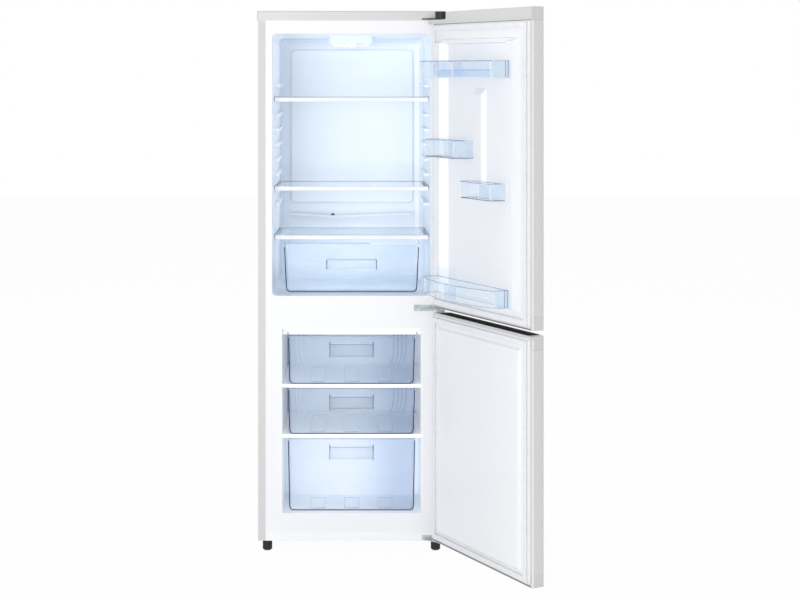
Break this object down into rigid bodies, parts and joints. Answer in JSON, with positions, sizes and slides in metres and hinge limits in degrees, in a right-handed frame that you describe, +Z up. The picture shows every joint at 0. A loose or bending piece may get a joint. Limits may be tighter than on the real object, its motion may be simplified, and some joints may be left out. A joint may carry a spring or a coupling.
{
  "type": "bottom freezer refrigerator",
  "caption": "Tall slim refrigerator over a bottom freezer, both doors open, with glass shelves, a clear crisper, clear freezer drawers and door bins.",
  "frame": {"origin": "on the floor, under the middle of the cabinet's front plane", "axes": "+Z up, +Y from the front into the cabinet, +X to the right for someone who faces the open cabinet"},
  "size_m": [0.7849, 1.0389, 1.576],
  "materials": {
    "silver_steel": "satin",
    "silver_plastic": "satin",
    "white_plastic": "satin",
    "white_steel": "satin",
    "gasket_white": "matte",
    "clear_blue": "gloss",
    "clear_bin": "gloss",
    "shelf_glass": "polished",
    "lens": "satin",
    "bulb": "gloss",
    "insulation": "matte",
    "black_plastic": "matte",
    "black_steel": "satin",
    "zinc_steel": "satin",
    "aluminium": "satin",
    "copper": "satin",
    "black_rubber": "matte"
  },
  "bodies": {
    "cabinet": {"side_panel_left": "silver_steel", "side_panel_right": "silver_steel", "top_cover": "silver_plastic", "back_panel": "white_steel", "machine_room_panel": "zinc_steel", "base_plate": "zinc_steel", "front_rail": "white_steel", "fridge_liner": "white_plastic", "freezer_liner": "white_plastic", "cabinet_foam": "insulation", "fridge_evaporator": "aluminium", "drain_tube": "white_plastic", "top_hinge": "black_steel", "top_hinge_cover": "black_plastic", "middle_hinge": "zinc_steel", "bottom_hinge": "zinc_steel", "hinge_screws": "zinc_steel", "compressor": "black_steel", "compressor_mounts": "black_rubber", "start_relay": "black_plastic", "drip_pan": "black_plastic", "condenser": "black_steel", "filter_drier": "copper", "refrigerant_pipes": "copper", "power_inlet": "black_plastic", "door_switch": "white_plastic", "control_housing": "white_plastic", "lamp_lens": "lens", "lamp_bulb": "bulb", "shelf_glass_upper": "shelf_glass", "shelf_glass_middle": "shelf_glass", "crisper_cover_glass": "shelf_glass", "shelf_trims": "white_plastic", "freezer_evaporators": "white_steel", "freezer_trims": "white_plastic"},
    "upper_door": {"upper_door_skin": "silver_steel", "upper_door_caps": "silver_plastic", "upper_door_liner": "white_plastic", "upper_door_foam": "insulation", "upper_door_gasket": "gasket_white"},
    "lower_door": {"lower_door_skin": "silver_steel", "lower_door_caps": "silver_plastic", "lower_door_liner": "white_plastic", "lower_door_foam": "insulation", "lower_door_gasket": "gasket_white"},
    "top_bin": {"top_bin": "clear_bin", "egg_tray": "white_plastic"},
    "hinge_side_bin": {"hinge_side_bin": "clear_bin"},
    "free_side_bin": {"free_side_bin": "clear_bin"},
    "bottom_bin": {"bottom_bin": "clear_bin"},
    "crisper": {"crisper": "clear_blue"},
    "freezer_drawer_upper": {"freezer_drawer_upper": "clear_blue"},
    "freezer_drawer_middle": {"freezer_drawer_middle": "clear_blue"},
    "freezer_drawer_lower": {"freezer_drawer_lower": "clear_blue"},
    "thermostat_knob": {"thermostat_knob": "white_plastic"},
    "switch_plunger": {"switch_plunger": "white_plastic"},
    "foot_left": {"foot_left": "black_plastic"},
    "foot_right": {"foot_right": "black_plastic"},
    "rear_roller_left": {"rear_roller_left": "black_plastic"},
    "rear_roller_right": {"rear_roller_right": "black_plastic"}
  },
  "joints": [
    {"name": "upper_door_hinge", "type": "hinge", "parent": "cabinet", "child": "upper_door", "pos_m": [0.2605, -0.032, 1.552], "axis": [0, 0, 1], "range_deg": [-116, 14]},
    {"name": "lower_door_hinge", "type": "hinge", "parent": "cabinet", "child": "lower_door", "pos_m": [0.2605, -0.032, 0.37], "axis": [0, 0, 1], "range_deg": [-116, 14]},
    {"name": "top_bin_lift", "type": "slide", "parent": "upper_door", "child": "top_bin", "axis": [0, 0, 1], "range_m": [0, 0.025]},
    {"name": "hinge_side_bin_lift", "type": "slide", "parent": "upper_door", "child": "hinge_side_bin", "axis": [0, 0, 1], "range_m": [0, 0.025]},
    {"name": "free_side_bin_lift", "type": "slide", "parent": "upper_door", "child": "free_side_bin", "axis": [0, 0, 1], "range_m": [0, 0.025]},
    {"name": "bottom_bin_lift", "type": "slide", "parent": "upper_door", "child": "bottom_bin", "axis": [0, 0, 1], "range_m": [0, 0.025]},
    {"name": "crisper_slide", "type": "slide", "parent": "cabinet", "child": "crisper", "axis": [0, -1, 0], "range_m": [0, 0.22]},
    {"name": "freezer_drawer_upper_slide", "type": "slide", "parent": "cabinet", "child": "freezer_drawer_upper", "axis": [0, -1, 0], "range_m": [0, 0.23]},
    {"name": "freezer_drawer_middle_slide", "type": "slide", "parent": "cabinet", "child": "freezer_drawer_middle", "axis": [0, -1, 0], "range_m": [0, 0.23]},
    {"name": "freezer_drawer_lower_slide", "type": "slide", "parent": "cabinet", "child": "freezer_drawer_lower", "axis": [0, -1, 0], "range_m": [0, 0.14]},
    {"name": "thermostat_turn", "type": "hinge", "parent": "cabinet", "child": "thermostat_knob", "pos_m": [0, 0.214, 1.478], "axis": [0, 0, -1], "range_deg": [0, 270]},
    {"name": "door_switch_press", "type": "slide", "parent": "cabinet", "child": "switch_plunger", "axis": [0, 1, 0], "range_m": [0, 0.008], "stiffness_N_per_m": 200},
    {"name": "foot_left_screw", "type": "hinge", "parent": "cabinet", "child": "foot_left", "pos_m": [-0.246, 0.02, 0.02], "axis": [0, 0, 1], "continuous": true},
    {"name": "foot_right_screw", "type": "hinge", "parent": "cabinet", "child": "foot_right", "pos_m": [0.246, 0.02, 0.02], "axis": [0, 0, 1], "continuous": true},
    {"name": "rear_roller_left_axle", "type": "hinge", "parent": "cabinet", "child": "rear_roller_left", "pos_m": [-0.2155, 0.453, 0.016], "axis": [1, 0, 0], "continuous": true},
    {"name": "rear_roller_right_axle", "type": "hinge", "parent": "cabinet", "child": "rear_roller_right", "pos_m": [0.2155, 0.453, 0.016], "axis": [1, 0, 0], "continuous": true}
  ]
}
